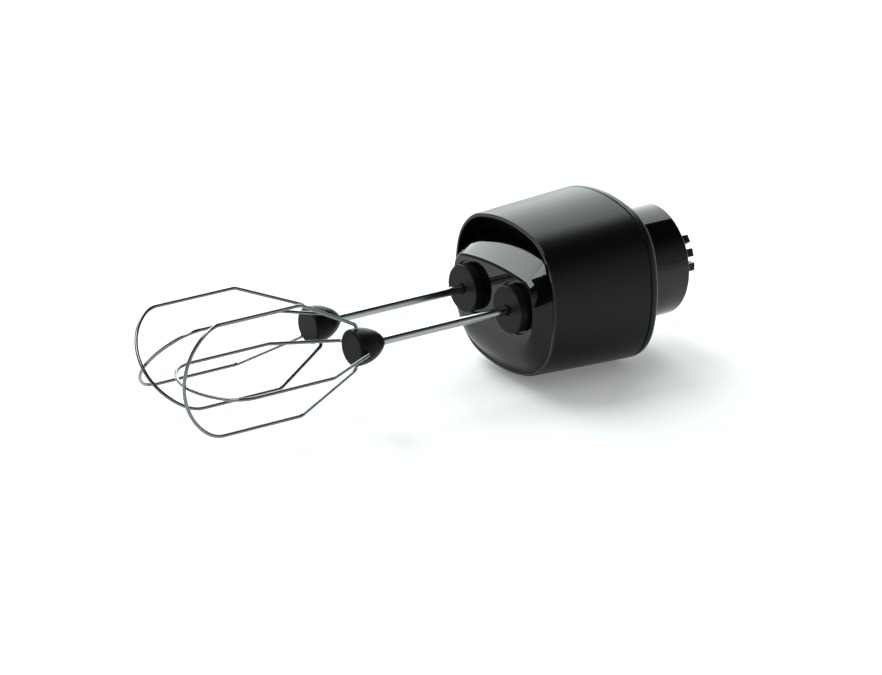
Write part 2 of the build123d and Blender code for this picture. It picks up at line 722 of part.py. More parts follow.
def wire_loop(y, angle, depth):
    """One bent wire: out of the hub, over the shoulder, along, round the tip and back."""
    nose_radius = ((depth ** 2 + (loop_radius - tip_corner_radius) ** 2 - tip_corner_radius ** 2)
                   / (2 * (depth - tip_corner_radius)))
    corner_centre = (tip_station, loop_radius - tip_corner_radius)
    nose_centre = tip_station + depth - nose_radius
    reach = hypot(tip_station - nose_centre, corner_centre[1])
    join_station = nose_centre + nose_radius * (tip_station - nose_centre) / reach
    join_radius = nose_radius * corner_centre[1] / reach
    corner_turn = pi / 4
    corner_middle = (tip_station + tip_corner_radius * sin(corner_turn / 2),
                     corner_centre[1] + tip_corner_radius * cos(corner_turn / 2))
    with BuildLine(whisk_plane(y, angle)) as path:
        for sign in (1, -1):
            run = [(wire_station, sign * wire_root_radius), (wire_station, sign * elbow_radius),
                   (shoulder_station, sign * loop_radius), (tip_station, sign * loop_radius)]
            FilletPolyline(*run, radius=[elbow_bend, shoulder_bend])
            ThreePointArc((tip_station, sign * loop_radius), (corner_middle[0], sign * corner_middle[1]),
                          (join_station, sign * join_radius))
        ThreePointArc((join_station, join_radius), (tip_station + depth, 0), (join_station, -join_radius))
    wire_path = path.wires()[0]
    with BuildSketch(Plane(origin=wire_path @ 0, z_dir=wire_path % 0)) as section:
        Circle(wire_radius)
    sweep(section.sketch, path=wire_path)


# Whisks: collar, shaft, hub and two crossed wire loops
for side, y in spindle_sides.items():
    with BuildPart() as collar:
        disc(collar_front, collar_rear, collar_radius, y)
        fillet(collar.edges().filter_by(GeomType.CIRCLE), collar_edge_radius)
        with BuildSketch(section_at(collar_rear, y)):
            RegularPolygon(hex_radius, 6)
        extrude(amount=collar_rear - hex_socket_floor - end_gap)
        disc(collar_front, hex_socket_floor, shaft_radius + seat_clearance, y, mode=Mode.SUBTRACT)
    keep(collar, f"{side}_collar")

    shaft_end = wire_station - wire_radius - end_gap
    with BuildPart() as shaft:
        disc(shaft_end, spindle_front - shaft_depth, shaft_radius, y)
        tube(hex_socket_floor, detent_rear, 2 * shaft_radius, shaft_radius - shaft_groove_depth, y,
             Mode.SUBTRACT)
    keep(shaft, f"{side}_shaft")

    with BuildPart() as hub:
        with BuildSketch(whisk_plane(y, 0)):
            with BuildLine():
                shoulder = (hub_rear + hub_nose_length, hub_radius)
                Polyline((hub_rear, hub_rear_radius), (hub_rear, 0), (hub_front, 0),
                         (hub_front, hub_radius), shoulder)
                TangentArc(shoulder, (hub_rear, hub_rear_radius), tangent=(-1, 0))
            make_face()
        revolve(axis=Axis((0, y, 0), (1, 0, 0)))
        fillet(hub.edges().group_by(Axis.X)[0], hub_edge_radius)
        disc(shaft_end, hub_rear, shaft_radius + seat_clearance, y, mode=Mode.SUBTRACT)
        for quarter in range(4):
            spoke = whisk_plane(y, whisk_angles[side] + 90 * quarter)
            with BuildSketch(Plane(origin=spoke.from_local_coords((wire_station, wire_root_radius)),
                                   z_dir=spoke.y_dir)):
                Circle(wire_radius + seat_clearance)
            extrude(amount=hub_radius, mode=Mode.SUBTRACT)
    keep(hub, f"{side}_hub")

    depths = {"outer": tip_depth, "inner": tip_depth - 2 * wire_radius - loop_gap}
    for turn, (layer, depth) in enumerate(depths.items()):
        with BuildPart() as loop:
            wire_loop(y, whisk_angles[side] + 90 * turn, depth)
        keep(loop, f"{side}_loop_{layer}")
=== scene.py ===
"""Twin-whisk gear head lying on a white studio floor.

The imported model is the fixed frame. The shells, collars, hubs, shafts and wires that the eye meets are drawn
here as parametric surfaces that stand for their nodes. The gears, bushes and screws inside keep their meshes
and get a finish. Lengths in the classes are millimetres. A station is a distance ahead of the neck's rear
rim, so station d lies at x = -d in the row frame. Meshes are written in metres.
"""
from __future__ import annotations

import json
import logging
from dataclasses import dataclass, field
from enum import Enum, IntEnum
from typing import Any

import bpy
import numpy as np
from mathutils import Matrix, Vector

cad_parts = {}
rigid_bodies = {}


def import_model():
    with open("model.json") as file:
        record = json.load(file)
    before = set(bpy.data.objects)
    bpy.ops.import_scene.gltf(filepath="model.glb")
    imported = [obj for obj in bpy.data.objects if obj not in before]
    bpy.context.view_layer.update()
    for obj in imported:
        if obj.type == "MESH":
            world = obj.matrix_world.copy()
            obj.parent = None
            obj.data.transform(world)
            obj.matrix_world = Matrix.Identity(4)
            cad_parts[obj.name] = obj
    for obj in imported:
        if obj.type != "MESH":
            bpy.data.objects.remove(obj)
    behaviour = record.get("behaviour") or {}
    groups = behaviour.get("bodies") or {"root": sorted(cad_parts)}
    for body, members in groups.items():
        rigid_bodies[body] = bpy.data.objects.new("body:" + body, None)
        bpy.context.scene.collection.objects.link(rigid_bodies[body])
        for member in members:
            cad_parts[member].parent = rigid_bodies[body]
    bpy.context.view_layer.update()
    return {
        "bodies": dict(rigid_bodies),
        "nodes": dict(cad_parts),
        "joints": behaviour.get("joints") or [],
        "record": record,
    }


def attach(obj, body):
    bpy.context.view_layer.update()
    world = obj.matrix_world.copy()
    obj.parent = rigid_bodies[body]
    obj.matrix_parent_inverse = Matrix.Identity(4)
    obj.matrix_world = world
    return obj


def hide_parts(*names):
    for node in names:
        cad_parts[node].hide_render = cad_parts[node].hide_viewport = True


LOG = logging.getLogger("gear_head")
IMAGE_WIDTH_PX = 882
MM = 0.001
WELD_MM = 1e-4
# How finely an outline is walked, to space points along it and to find them under a bearing.
SPACING_SAMPLES = 4001
BEARING_SAMPLES = 7201
# Radii of small edges: barely broken, crisp, fine and plain.
BROKEN, CRISP, FINE, PLAIN = 0.1, 0.15, 0.2, 0.3
# The flat that is left beside a rounded edge, and the play of a bore on its shaft.
EDGE_LAND = 0.6
BORE_PLAY = 0.01
# The Mix node's colour sockets, which share their names with those of its other types.
MIX_FIRST, MIX_SECOND, MIX_RESULT = 6, 7, 2

Array = np.ndarray
Triple = tuple[float, float, float]


class Slot(str, Enum):
    """The record's material slots."""

    SLEEVE = "sleeve_plastic"
    GLOSS = "gloss_plastic"
    CROWN = "crown_plastic"
    COLLAR = "collar_plastic"
    WHISK = "whisk_steel"
    GEAR_STEEL = "gear_steel"
    GEAR_PLASTIC = "gear_plastic"
    PLATE = "plate_plastic"
    FASTENER = "fastener_steel"
    BUSH = "bush_bronze"
    SEAL = "seal_rubber"


class Grain(Enum):
    """How a surface was made: the texture node that draws its grain and the grain's stretch along X, Y, Z."""

    SPARK = ("ShaderNodeTexNoise", (1.0, 1.0, 1.0))
    POLISH = ("ShaderNodeTexNoise", (0.5, 1.0, 1.0))
    DRAWN = ("ShaderNodeTexNoise", (0.02, 1.0, 1.0))
    TURNED = ("ShaderNodeTexNoise", (1.0, 0.04, 0.04))
    POWDER = ("ShaderNodeTexVoronoi", (1.0, 1.0, 1.0))
    FIBRE = ("ShaderNodeTexNoise", (0.2, 1.0, 0.6))


# Plain helpers


def linear(code: str) -> tuple[float, float, float, float]:
    """Turns an sRGB hex value into linear colour, by the sRGB curve.

    Args:
        code: The colour, as "#rrggbb".

    Returns:
        Linear red, green and blue, and full alpha.
    """
    srgb = np.array([int(code[k:k + 2], 16) for k in (1, 3, 5)]) / 255.0
    values = np.where(srgb <= 0.04045, srgb / 12.92, ((srgb + 0.055) / 1.055) ** 2.4)
    return (*values.tolist(), 1.0)


def smooth(low: float, high: float, value: Array) -> Array:
    """Rises from 0 at low to 1 at high, which may be the smaller of the two, as 3t^2 - 2t^3."""
    share = np.clip((value - low) / (high - low), 0.0, 1.0)
    return share * share * (3.0 - 2.0 * share)


def rounded(corners: list[tuple[float, ...]], steps: int = 6) -> Array:
    """Rounds the corners of a polyline: each corner becomes an arc that touches both of its runs.

    Args:
        corners: The corner points, each with a radius unless it is sharp. Where an end has one, the last
            corner runs on to the first.
        steps: Steps in each arc.

    Returns:
        The points in order, shape (n, 2).
    """
    points = np.array([corner[:2] for corner in corners], float)
    share = np.linspace(0.0, 1.0, steps + 1)[:, None]
    runs = []
    for k, corner in enumerate(corners):
        here = points[k]
        if len(corner) == 2:
            runs.append(here[None])
            continue
        radius = corner[2]
        back = points[k - 1] - here
        ahead = points[(k + 1) % len(points)] - here
        back, ahead = back / np.linalg.norm(back), ahead / np.linalg.norm(ahead)
        half = np.arccos(np.clip(back @ ahead, -1.0, 1.0)) / 2
        turn = np.pi - 2 * half
        middle = (back + ahead) / np.linalg.norm(back + ahead)
        centre = here + middle * radius / np.sin(half)
        start = here + back * radius / np.tan(half) - centre
        end = here + ahead * radius / np.tan(half) - centre
        arc = np.sin((1 - share) * turn) * start + np.sin(share * turn) * end
        runs.append(centre + arc / np.sin(turn))
    return np.concatenate(runs)


def running_length(points: Array) -> Array:
    """Gives the length of a polyline up to each of its points."""
    return np.concatenate(([0.0], np.cumsum(np.linalg.norm(np.diff(points, axis=0), axis=1))))


def respaced(points: Array, count: int) -> Array:
    """Spreads points evenly along a polyline by its running length.

    Args:
        points: The polyline, shape (n, 2).
        count: How many points to give, ends included.

    Returns:
        The evenly spaced points, shape (count, 2).
    """
    length = running_length(points)
    wanted = np.linspace(0.0, length[-1], count)
    return np.stack([np.interp(wanted, length, values) for values in points.T], axis=-1)


def full_turn(columns: int) -> Array:
    """Gives even angles round a full turn."""
    return np.linspace(0.0, 2 * np.pi, columns, endpoint=False)


def about_axis(station: Array, radius: Array, angle: Array, y: float = 0.0) -> Array:
    """Puts points about a line along X, at radius r and angle a: (-station, y + r cos a, r sin a)."""
    spots = np.broadcast_arrays(-station, y + radius * np.cos(angle), radius * np.sin(angle))
    return np.stack(spots, axis=-1)


def revolved(profile: Array, y: float, columns: int) -> Array:
    """Turns a profile of (station, radius), shape (n, 2), about a line along X into a grid."""
    return about_axis(profile[:, :1], profile[:, 1:], full_turn(columns), y)


def at_station(flat: Array, station: Array | float) -> Array:
    """Puts (y, z) points, shape (..., 2), at one station or at stations that fit them: x = -station."""
    x = np.broadcast_to(-np.asarray(station, float), flat.shape[:-1])
    return np.concatenate((x[..., None], flat), axis=-1)


def grid_quads(index: Array) -> Array:
    """Gives the quads between neighbouring points of a grid of indices, shape (rows - 1, columns - 1, 4)."""
    return np.stack((index[:-1, :-1], index[1:, :-1], index[1:, 1:], index[:-1, 1:]), axis=-1)


@dataclass(frozen=True)
class Squircle:
    """A rounded square of eight tangent arcs.

    A corner arc passes through the point at corner_reach of both half sizes. The side and top arcs touch it,
    so their radii follow: (reach^2 + across^2 - r^2) / (2 (reach - r)), with reach and across measured from
    the corner's centre.
    """

    half_width: float
    half_height: float
    corner_radius: float
    corner_reach: float

    def outline(self, angle: Array, inset: Array | float = 0.0, grow: Array | float = 0.0) -> Array:
        """Gives the points whose outward normal has an angle: arc centre + (radius - inset)(cos a, sin a).

        Args:
            angle: Angles of the normal.
            inset: How far the outline is drawn in.
            grow: How much both half sizes grow.

        Returns:
            Points (y, z), shape (..., 2).
        """
        width, height, inset, angle = np.broadcast_arrays(
            self.half_width + np.asarray(grow), self.half_height + np.asarray(grow), inset, angle)
        corner, half = self.corner_radius, np.stack((width, height))
        centre = self.corner_reach * half - corner / (half * np.hypot(1 / width, 1 / height))
        reach = half - centre
        arcs = (reach ** 2 + centre[::-1] ** 2 - corner ** 2) / (2 * (reach - corner))
        (centre_y, centre_z), (side_y, top_z) = centre, half - arcs
        cosine, sine = np.cos(angle), np.sin(angle)
        folded = np.arctan2(np.abs(sine), np.abs(cosine))
        cases = (folded < np.arctan2(centre_z, centre_y - side_y),
                 folded > np.arctan2(centre_z - top_z, centre_y))
        radius = np.select(cases, tuple(arcs), corner) - inset
        y = np.select(cases, (side_y, np.zeros_like(width)), centre_y)
        z = np.select(cases, (np.zeros_like(width), top_z), centre_z)
        return np.stack((np.where(cosine < 0, -1, 1) * y + radius * cosine,
                         np.where(sine < 0, -1, 1) * z + radius * sine), axis=-1)

    def spaced(self, count: int) -> Array:
        """Gives normal angles of points evenly spaced round the outline, by its running length.

        Args:
            count: How many points.

        Returns:
            The angles, shape (count,).
        """
        fine = np.linspace(0.0, 2 * np.pi, SPACING_SAMPLES)
        length = running_length(self.outline(fine))
        return np.interp(np.arange(count) / count * length[-1], length, fine)

    def facing(self, bearing: Array) -> Array:
        """Gives normal angles of the points under bearings from the middle, with both half sizes scaled to 1.

        Args:
            bearing: The bearings.

        Returns:
            The normal angles.
        """
        fine = np.linspace(-np.pi, np.pi, BEARING_SAMPLES)
        spot = self.outline(fine) / (self.half_width, self.half_height)
        seen = np.unwrap(np.arctan2(spot[:, 1], spot[:, 0]))
        return np.interp((bearing + np.pi) % (2 * np.pi) - np.pi, seen, fine)


@dataclass
class Shell:
    """A closed mesh gathered from grids of points and welded where they meet."""

    name: str
    crease_deg: float = 38.0
    points: list[Array] = field(default_factory=list)
    sides: list[Array] = field(default_factory=list)
    slots: list[Array] = field(default_factory=list)
    lay: list[Array] = field(default_factory=list)
    count: int = 0

    def patch(self, grid: Array, wrap_rows: bool = False, slot: Array | int = 0,
              lay: Array | None = None) -> Shell:
        """Adds a grid as quads between neighbouring points; its last column runs on to the first.

        Args:
            grid: Points in millimetres, shape (rows, columns, 3).
            wrap_rows: Whether the last row runs on to the first too.
            slot: The finish of each quad, or one for all.
            lay: Where each point lies along the piece and round it, for patterns that follow the surface.

        Returns:
            The shell itself.
        """
        rows, columns = grid.shape[:2]
        index = np.arange(rows * columns).reshape(rows, columns) + self.count
        index = np.vstack((index, index[:1])) if wrap_rows else index
        quads = grid_quads(np.hstack((index, index[:, :1])))
        self.points.append(grid.reshape(-1, 3))
        self.sides.append(quads.reshape(-1, 4))
        self.slots.append(np.broadcast_to(slot, quads.shape[:2]).reshape(-1))
        self.lay.append((grid if lay is None else lay).reshape(-1, 3))
        self.count += rows * columns
        return self

    def build(self) -> bpy.types.Object:
        """Welds the grids, drops collapsed sides, turns the faces outwards and writes the mesh.

        Returns:
            The new object, at the origin, with its place in its mesh.
        """
        every = np.concatenate(self.points)
        _, first, link = np.unique(np.round(every / WELD_MM), axis=0, return_index=True, return_inverse=True)
        points = every[first]
        quads = link.reshape(-1)[np.concatenate(self.sides)]
        slots = np.concatenate(self.slots)
        same = quads == np.roll(quads, -1, axis=1)
        whole, single = ~same.any(axis=1), same.sum(axis=1) == 1
        triangles = quads[single][~same[single]].reshape(-1, 3)
        fan = np.concatenate((quads[whole][:, [0, 1, 2]], quads[whole][:, [0, 2, 3]], triangles))
        a, b, c = (points[fan[:, k]] for k in range(3))
        turn = 1 if np.einsum("ij,ij->", a, np.cross(b, c)) > 0 else -1
        faces = quads[whole][:, ::turn].tolist() + triangles[:, ::turn].tolist()
        mesh = bpy.data.meshes.new(self.name)
        mesh.from_pydata((points * MM).tolist(), [], faces)
        slots = np.concatenate((slots[whole], slots[single]))
        mesh.polygons.foreach_set("material_index", slots.astype(np.int32))
        lay = np.concatenate(self.lay)[first] * MM
        layer = mesh.attributes.new("lay", "FLOAT_VECTOR", "POINT")
        layer.data.foreach_set("vector", lay.astype(np.float32).reshape(-1))
        mesh.shade_smooth()
        mesh.set_sharp_from_angle(angle=np.radians(self.crease_deg))
        mesh.update()
        made = bpy.data.objects.new(self.name, mesh)
        bpy.context.scene.collection.objects.link(made)
        return made


def even_normals(piece: bpy.types.Object) -> None:
    """Lets the large faces set the normals, so that flats beside small rounds shade flat."""
    weighted = piece.modifiers.new("even_normals", "WEIGHTED_NORMAL")
    weighted.keep_sharp = True


def add_node(tree: bpy.types.NodeTree, kind: str, settings: dict[str | int, Any] | None = None,
             links: dict[str | int, bpy.types.NodeSocket] | None = None) -> bpy.types.Node:
    """Adds a node with its settings and links.

    Args:
        tree: The tree it goes into.
        kind: The node's type.
        settings: Values by input or by the node's own property.
        links: Source sockets by input.

    Returns:
        The node.
    """
    made = tree.nodes.new(kind)
    for key, value in (settings or {}).items():
        if isinstance(key, int) or key in made.inputs:
            made.inputs[key].default_value = value
        else:
            setattr(made, key, value)
    for key, source in (links or {}).items():
        tree.links.new(source, made.inputs[key])
    return made


# Finishes


@dataclass(frozen=True)
class Finish:
    """A surface finish: what it is made of and the grain that its making left."""

    name: str
    slot: Slot
    colour: str
    shade: str
    roughness: float
    spread: float
    grain: Grain
    grain_mm: float
    relief_mm: float
    metallic: float = 0.0
    ior: float = 1.5
    specular: float = 0.5
    follows_piece: bool = False

    def material(self) -> bpy.types.Material:
        """Makes the material: a grain of its size tints the colour, varies the gloss and lifts the surface.

        Returns:
            The material, made once and then found by name.
        """
        found = bpy.data.materials.get(self.name)
        if found:
            return found
        made = bpy.data.materials.new(self.name)
        made.use_nodes = True
        tree = made.node_tree
        tree.nodes.clear()
        if self.follows_piece:
            place = add_node(tree, "ShaderNodeAttribute", {"attribute_name": "lay"}).outputs["Vector"]
        else:
            place = add_node(tree, "ShaderNodeTexCoord").outputs["Object"]
        kind, stretch = self.grain.value
        per_metre = 1.0 / (self.grain_mm * MM)
        mapped = add_node(tree, "ShaderNodeMapping", {"Scale": tuple(per_metre * s for s in stretch)},
                          {"Vector": place})
        pattern = add_node(tree, kind, {"Scale": 1.0}, {"Vector": mapped.outputs["Vector"]})
        level = pattern.outputs["Fac" if kind.endswith("Noise") else "Distance"]
        tint = add_node(tree, "ShaderNodeMix",
                        {"data_type": "RGBA", MIX_FIRST: linear(self.colour), MIX_SECOND: linear(self.shade)},
                        {"Factor": level})
        gloss = add_node(tree, "ShaderNodeMapRange",
                         {"To Min": self.roughness - self.spread, "To Max": self.roughness + self.spread},
                         {"Value": level})
        lift = add_node(tree, "ShaderNodeBump", {"Strength": 1.0, "Distance": self.relief_mm * MM},
                        {"Height": level})
        shader = add_node(tree, "ShaderNodeBsdfPrincipled",
                          {"Metallic": self.metallic, "IOR": self.ior, "Specular IOR Level": self.specular},
                          {"Base Color": tint.outputs[MIX_RESULT], "Roughness": gloss.outputs["Result"],
                           "Normal": lift.outputs["Normal"]})
        add_node(tree, "ShaderNodeOutputMaterial", links={"Surface": shader.outputs["BSDF"]})
        return made


# Satin black ABS, moulded in a spark-eroded tool: a soft grey sheen under the light, deep black elsewhere.
# The pits are 0.05 mm across, drawn here at 0.5 mm so that they show.
SATIN_ABS = Finish("satin_black_abs", Slot.SLEEVE, "#040404", "#070708", 0.34, 0.015,
                   Grain.SPARK, 0.5, 0.0005, ior=1.54, specular=0.16)
# Gloss black ABS from a polished tool: a clear mirror of the studio with the slow waves of a thin wall.
GLOSS_ABS = Finish("gloss_black_abs", Slot.GLOSS, "#050506", "#070709", 0.06, 0.012,
                   Grain.POLISH, 9.0, 0.002, ior=1.54, specular=0.29)
# The cap's sides and chin, finely blasted in the same tool: the studio shows in them, softly.
FACE_ABS = Finish("satin_face_abs", Slot.GLOSS, "#050506", "#070709", 0.30, 0.012,
                  Grain.SPARK, 0.5, 0.0005, ior=1.54, specular=0.26)
# The pocket behind the nose: matt, with almost no reflection and a blacker colour, as painted shade that
# keeps the pocket dark and hides the glints at its ends.
POCKET_SHADE_ABS = Finish("matt_pocket_painted_shade_abs", Slot.GLOSS, "#030303", "#050505", 0.75, 0.05,
                  Grain.SPARK, 0.5, 0.002, ior=1.54, specular=0.03)
# Black acetal of the crown and coupling: dull moulded plastic that carries load.
BLACK_ACETAL = Finish("black_acetal", Slot.CROWN, "#080808", "#0d0d0e", 0.38, 0.05,
                      Grain.SPARK, 0.6, 0.002, ior=1.48, specular=0.2)
# Satin black polypropylene of collars and hubs: a little greyer and softer than the sleeve.
BLACK_PP = Finish("satin_black_polypropylene", Slot.COLLAR, "#0b0d0d", "#111314", 0.36, 0.04,
                  Grain.SPARK, 0.4, 0.0010, ior=1.49, specular=0.09)
# Ground and polished stainless rod of the shafts: bright, with faint lines along its length.
STAINLESS_ROD = Finish("polished_stainless_rod", Slot.WHISK, "#aeb0b0", "#9fa1a1", 0.17, 0.03,
                       Grain.DRAWN, 0.35, 0.0006, metallic=1.0)
# Drawn stainless spring wire of the loops, with draw lines along its length. Its colour is set darker than
# the rods' as painted shade: it stands in for the dark studio that the loops mirror.
SHADED_STAINLESS_WIRE = Finish("stainless_wire_painted_shade", Slot.WHISK, "#7c7e7e", "#6f7171", 0.17, 0.03,
                        Grain.DRAWN, 0.35, 0.0006, metallic=1.0, follows_piece=True)
# Sintered and ground gear steel: grey, pored and half dull.
SINTERED_STEEL = Finish("sintered_steel", Slot.GEAR_STEEL, "#8d8d8f", "#5f6062", 0.34, 0.08,
                        Grain.POWDER, 0.35, 0.004, metallic=1.0)
# Natural acetal gears: creamy white and waxy.
NATURAL_ACETAL = Finish("natural_acetal", Slot.GEAR_PLASTIC, "#e6e3d8", "#dedace", 0.34, 0.04,
                        Grain.POLISH, 4.0, 0.004, ior=1.48)
# Glass-filled nylon plates: dark grey with short fibres that show as streaks.
FILLED_NYLON = Finish("glass_filled_nylon", Slot.PLATE, "#4a4b4e", "#5d5e61", 0.50, 0.08,
                      Grain.FIBRE, 0.8, 0.006)
# Zinc-plated steel of screws and clips: pale and slightly bluish.
ZINC_STEEL = Finish("zinc_plated_steel", Slot.FASTENER, "#b4b8bc", "#9ba0a5", 0.28, 0.06,
                    Grain.TURNED, 0.5, 0.003, metallic=1.0)
# Sintered bronze bushes: warm brown metal with oil-filled pores.
SINTERED_BRONZE = Finish("sintered_bronze", Slot.BUSH, "#b08a55", "#7d5f38", 0.40, 0.08,
                         Grain.POWDER, 0.3, 0.005, metallic=1.0)
# Nitrile rubber seals: matt black with a dusty bloom.
NITRILE = Finish("nitrile_rubber", Slot.SEAL, "#131313", "#1d1d1d", 0.70, 0.08, Grain.SPARK, 0.7, 0.006)


def place(piece: bpy.types.Object, body: str, finishes: list[Finish], *nodes: str) -> None:
    """Dresses a finished piece and ties it to the frame.

    Args:
        piece: The piece.
        body: The body it rides on.
        finishes: Its finishes, in the order of its materials.
        nodes: The nodes that it stands for.
    """
    for finish in finishes:
        piece.data.materials.append(finish.material())
    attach(piece, body)
    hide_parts(*nodes)
    LOG.info("%s: %d faces on %s", piece.name, len(piece.data.polygons), body)


# Sub-assemblies


@dataclass
class Housing:
    """The flared sleeve and the cover that closes it behind the parting line."""

    outline: Squircle = Squircle(37.9, 35.8, 25.0, 0.766)
    flare: float = 2.8
    front: float = 85.2
    rear: float = 28.2
    sleeve_rear: float = 33.4
    wall: float = 1.6
    rim_round: float = 0.7
    parting_round: float = 0.25
    band_front: float = 32.8
    band_round: float = 3.0
    groove_depth: float = 0.6
    spigot_front: float = 37.4
    spigot_inset: float = 1.75
    spigot_wall: float = 1.6
    cover_front: float = 32.4
    bore: float = 26.15
    columns: int = 288

    def ring(self, profile: Array, flare_at: float | None = None) -> Array:
        """Carries the outline along a profile of (station, inset); it grows evenly from front to rear.

        Args:
            profile: The profile, shape (n, 2).
            flare_at: One station whose size all rows take, where the piece isn't flared.

        Returns:
            A grid, shape (n, columns, 3).
        """
        station, inset = profile[:, :1], profile[:, 1:]
        sized_at = station if flare_at is None else flare_at
        grow = self.flare * (self.front - sized_at) / (self.front - self.rear)
        return at_station(self.outline.outline(self.outline.spaced(self.columns), inset, grow), station)

    def sleeve(self) -> bpy.types.Object:
        """Makes the sleeve: a closed wall profile carried round the outline.

        Returns:
            The sleeve; its front rim takes the second finish.
        """
        profile = rounded([(self.front, 0.0, self.rim_round), (self.front, self.wall, CRISP),
                           (self.sleeve_rear, self.wall), (self.sleeve_rear, 0.0, self.parting_round)])
        ahead = profile[:, 0] > self.front - self.rim_round - WELD_MM
        on_rim = (ahead & np.roll(ahead, -1)).astype(int)[:, None]
        return Shell("sleeve_shell").patch(self.ring(profile), wrap_rows=True, slot=on_rim).build()

    def cover(self) -> bpy.types.Object:
        """Makes the rear cover: a band with a soft edge, the groove, the spigot and a flat end with a bore.

        Returns:
            The cover; its end faces run straight from the outline to the bore's circle at equal normals.
        """
        inner = self.spigot_inset + self.spigot_wall
        profile = rounded([
            (self.rear, self.band_round + EDGE_LAND), (self.rear, 0.0, self.band_round),
            (self.band_front, 0.0, self.parting_round), (self.band_front, self.groove_depth),
            (self.sleeve_rear, self.groove_depth), (self.sleeve_rear, self.spigot_inset),
            (self.spigot_front, self.spigot_inset, PLAIN),
            (self.spigot_front, inner, PLAIN), (self.cover_front, inner)], steps=8)
        side = self.ring(profile, flare_at=self.sleeve_rear)
        angle = self.outline.spaced(self.columns)
        circle = np.stack((np.cos(angle), np.sin(angle)), axis=-1)
        hole = rounded([(self.rear, self.bore + EDGE_LAND), (self.rear, self.bore, PLAIN),
                        (self.cover_front, self.bore)])
        bore = at_station(hole[:, 1:, None] * circle, hole[:, :1])
        shell = Shell("rear_cover_shell")
        for grid in (side, bore, np.stack((side[0], bore[0])), np.stack((side[-1], bore[-1]))):
            shell.patch(grid)
        return shell.build()

    def build(self) -> None:
        """Builds both shells and ties them to the housing."""
        for piece, finishes, node in ((self.sleeve(), [SATIN_ABS, GLOSS_ABS], "outer_sleeve"),
                                      (self.cover(), [SATIN_ABS], "rear_cover")):
            even_normals(piece)
            place(piece, "housing", finishes, node)


class CapZone(IntEnum):
    """The cap's finishes in material order: polished, matt pocket painted dark as shade, blasted face."""

    GLOSS = 0
    POCKET = 1
    FACE = 2


